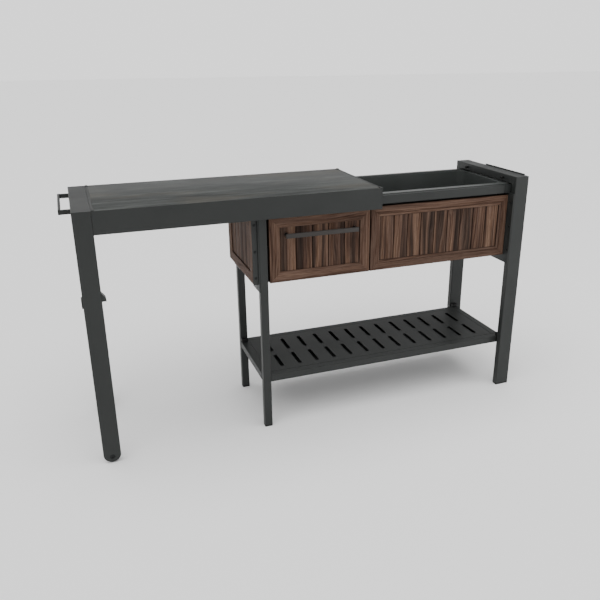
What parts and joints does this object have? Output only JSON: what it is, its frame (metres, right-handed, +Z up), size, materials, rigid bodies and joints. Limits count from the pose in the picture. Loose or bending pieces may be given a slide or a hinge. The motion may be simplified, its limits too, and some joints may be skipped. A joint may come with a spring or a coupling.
{
  "type": "outdoor serving console",
  "caption": "Outdoor serving console: wood-panelled stand with drawer, tub and slatted shelf, and a long worktop that rolls out over it on its own wheeled legs.",
  "frame": {"origin": "on the floor, at the middle of the console's length and depth with the worktop rolled right out", "axes": "+Z up, +X along the length from the rolling end frame to the fixed end frame, +Y to the back; the drawer opens towards -Y"},
  "size_m": [1.747, 0.441, 0.918],
  "materials": {
    "charcoal_coat": "satin",
    "tub_coat": "satin",
    "grey_board": "matte",
    "walnut_wood": "satin",
    "black_plastic": "matte",
    "charcoal_plastic": "satin",
    "rubber": "matte",
    "dark_steel": "satin"
  },
  "bodies": {
    "stand": {"left_front_post": "charcoal_coat", "left_rear_post": "charcoal_coat", "right_front_post": "charcoal_coat", "right_rear_post": "charcoal_coat", "right_top_beam": "charcoal_coat", "post_feet": "black_plastic", "front_rail": "charcoal_coat", "rear_rail": "charcoal_coat", "rail_end_blocks": "charcoal_plastic", "left_cross_rail": "charcoal_coat", "right_cross_rail": "charcoal_coat", "left_side_plates": "charcoal_coat", "right_side_plates": "charcoal_coat", "panel_screws": "dark_steel", "hanger_strip": "charcoal_coat", "stop_buffers": "rubber", "cabinet_floor": "charcoal_coat", "cabinet_left_wall": "charcoal_coat", "cabinet_right_wall": "charcoal_coat", "cabinet_divider": "charcoal_coat", "front_panel_frame": "walnut_wood", "front_panel_planks": "walnut_wood", "rear_panel_frame": "walnut_wood", "rear_panel_planks": "walnut_wood", "side_panel_frame": "walnut_wood", "side_panel_planks": "walnut_wood", "side_panel_trims": "charcoal_coat", "tub": "tub_coat", "shelf_frame": "charcoal_coat", "shelf_panel": "charcoal_coat", "shelf_brackets": "black_plastic", "outer_runners": "dark_steel"},
    "worktop": {"top_panel": "grey_board", "board_edge_trims": "charcoal_coat", "front_apron": "charcoal_coat", "rear_apron": "charcoal_coat", "corner_caps": "charcoal_plastic", "left_end_rail": "charcoal_coat", "right_end_rail": "charcoal_coat", "underside_ribs": "charcoal_coat", "rolling_front_leg": "charcoal_coat", "rolling_rear_leg": "charcoal_coat", "cap_beam": "charcoal_coat", "pull_handle": "charcoal_coat", "leg_catch": "charcoal_coat", "wheel_forks": "charcoal_coat", "axle_bolts": "dark_steel", "roller_brackets": "dark_steel", "roller_pins": "dark_steel"},
    "front_wheel": {"front_wheel": "rubber"},
    "rear_wheel": {"rear_wheel": "rubber"},
    "front_roller": {"front_roller": "black_plastic"},
    "rear_roller": {"rear_roller": "black_plastic"},
    "drawer": {"drawer_box": "charcoal_coat", "drawer_front_frame": "walnut_wood", "drawer_front_planks": "walnut_wood", "drawer_handle": "charcoal_coat", "handle_posts": "black_plastic", "inner_runners": "dark_steel"},
    "runner_middles": {"middle_runners": "dark_steel"}
  },
  "joints": [
    {"name": "worktop_slide", "type": "slide", "parent": "stand", "child": "worktop", "axis": [1, 0, 0], "range_m": [0, 0.568]},
    {"name": "front_wheel_spin", "type": "hinge", "parent": "worktop", "child": "front_wheel", "pos_m": [-0.806, -0.205, 0.024], "axis": [0, 1, 0], "continuous": true},
    {"name": "rear_wheel_spin", "type": "hinge", "parent": "worktop", "child": "rear_wheel", "pos_m": [-0.806, 0.205, 0.024], "axis": [0, 1, 0], "continuous": true},
    {"name": "front_roller_spin", "type": "hinge", "parent": "worktop", "child": "front_roller", "pos_m": [0.1945, -0.173, 0.8873], "axis": [0, 1, 0], "continuous": true},
    {"name": "rear_roller_spin", "type": "hinge", "parent": "worktop", "child": "rear_roller", "pos_m": [0.1945, 0.173, 0.8913], "axis": [0, 1, 0], "continuous": true},
    {"name": "drawer_slide", "type": "slide", "parent": "stand", "child": "drawer", "axis": [0, -1, 0], "range_m": [0, 0.28]},
    {"name": "runner_middle_slide", "type": "slide", "parent": "stand", "child": "runner_middles", "axis": [0, -1, 0], "range_m": [0, 0.14]}
  ],
  "couplings": [
    {"joint": "front_wheel_spin", "follows": "worktop_slide", "rad_per_m": 41.667},
    {"joint": "rear_wheel_spin", "follows": "worktop_slide", "rad_per_m": 41.667},
    {"joint": "front_roller_spin", "follows": "worktop_slide", "rad_per_m": 111.11},
    {"joint": "rear_roller_spin", "follows": "worktop_slide", "rad_per_m": 133.33},
    {"joint": "runner_middle_slide", "follows": "drawer_slide", "ratio": 0.5}
  ]
}
